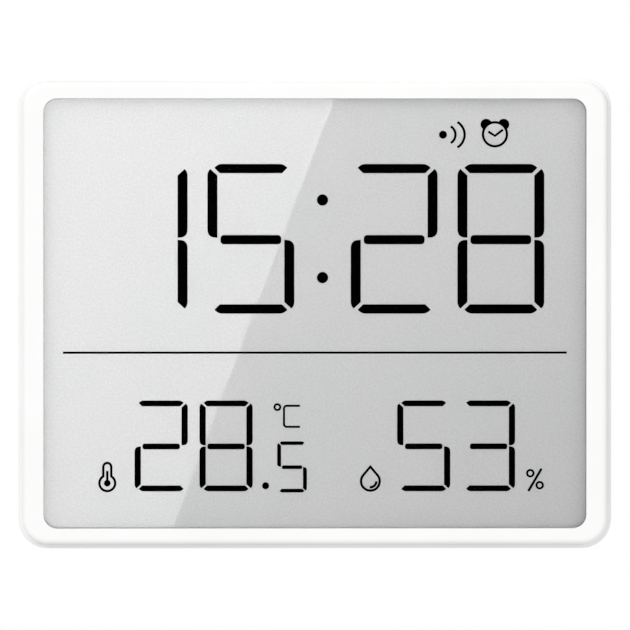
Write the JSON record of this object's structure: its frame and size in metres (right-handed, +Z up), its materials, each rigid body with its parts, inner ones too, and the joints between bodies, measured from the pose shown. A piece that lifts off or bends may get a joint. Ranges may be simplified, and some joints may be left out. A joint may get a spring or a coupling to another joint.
{
  "type": "digital clock",
  "caption": "Slim white desk and wall clock with a large grey liquid crystal display of time, temperature and humidity, back buttons, battery door and fold-out kickstand.",
  "frame": {"origin": "middle of the bottom of the case, on the surface that the clock stands on", "axes": "+X to the right as seen from the front, +Y from the front face to the back, +Z up"},
  "size_m": [0.126, 0.02, 0.1],
  "materials": {
    "white_plastic": "satin moulded plastic",
    "inner_plastic": "plain moulded plastic",
    "tape": "adhesive foam",
    "clear_lens": "clear polished sheet",
    "polariser": "clear film",
    "cell_glass": "clear glass",
    "edge_seal": "cured resin",
    "reflector": "silver film with a fine grain",
    "display_mark": "dark liquid crystal",
    "zebra_rubber": "layered rubber",
    "board": "solder resist",
    "resin": "moulded resin",
    "steel": "plated steel",
    "contact": "nickel plated spring steel",
    "sensor_plastic": "moulded plastic",
    "button_plastic": "satin moulded plastic",
    "cell_jacket": "printed jacket without words",
    "red_jacket": "soft sleeve",
    "black_jacket": "soft sleeve"
  },
  "bodies": {
    "case": {"front_bezel": "white_plastic", "rear_case": "white_plastic", "display_frame": "inner_plastic", "lens_tape": "tape", "display_lens": "clear_lens", "lcd_front_polariser": "polariser", "lcd_front_glass": "cell_glass", "lcd_rear_glass": "cell_glass", "lcd_edge_seal": "edge_seal", "lcd_reflector": "reflector", "lcd_hour_digits": "display_mark", "lcd_minute_digits": "display_mark", "lcd_colon": "display_mark", "lcd_divider": "display_mark", "lcd_temperature_digits": "display_mark", "lcd_humidity_digits": "display_mark", "lcd_celsius_sign": "display_mark", "lcd_percent_sign": "display_mark", "lcd_thermometer_icon": "display_mark", "lcd_drop_icon": "display_mark", "lcd_alarm_icon": "display_mark", "lcd_sound_icon": "display_mark", "zebra_strip": "zebra_rubber", "main_board": "board", "controller_blob": "resin", "clock_crystal": "steel", "buzzer": "resin", "climate_sensor": "sensor_plastic", "key_switch_1": "steel", "key_switch_2": "steel", "key_switch_3": "steel", "battery_1": "cell_jacket", "battery_2": "cell_jacket", "positive_terminal": "contact", "negative_terminal": "contact", "bridge_plate": "contact", "bridge_spring": "steel", "negative_spring": "steel", "red_lead": "red_jacket", "black_lead": "black_jacket", "kickstand_pin": "steel", "case_screw_1": "steel", "case_screw_2": "steel", "case_screw_3": "steel", "case_screw_4": "steel", "board_screw_1": "steel", "board_screw_2": "steel", "board_screw_3": "steel"},
    "kickstand": {"kickstand": "white_plastic"},
    "battery_door": {"battery_door": "white_plastic"},
    "button_1": {"button_cap_1": "button_plastic", "switch_plunger_1": "resin"},
    "button_2": {"button_cap_2": "button_plastic", "switch_plunger_2": "resin"},
    "button_3": {"button_cap_3": "button_plastic", "switch_plunger_3": "resin"}
  },
  "joints": [
    {"name": "kickstand_hinge", "type": "hinge", "parent": "case", "child": "kickstand", "pos_m": [0, 0.0083, 0.064], "axis": [1, 0, 0], "range_deg": [0, 28]},
    {"name": "battery_door_tilt", "type": "hinge", "parent": "case", "child": "battery_door", "pos_m": [0.043, 0.01, 0.02378], "axis": [-1, 0, 0], "range_deg": [0, 75]},
    {"name": "button_1_press", "type": "slide", "parent": "case", "child": "button_1", "axis": [0, -1, 0], "range_m": [0, 0.0005], "stiffness_N_per_m": 2000},
    {"name": "button_2_press", "type": "slide", "parent": "case", "child": "button_2", "axis": [0, -1, 0], "range_m": [0, 0.0005], "stiffness_N_per_m": 2000},
    {"name": "button_3_press", "type": "slide", "parent": "case", "child": "button_3", "axis": [0, -1, 0], "range_m": [0, 0.0005], "stiffness_N_per_m": 2000}
  ]
}
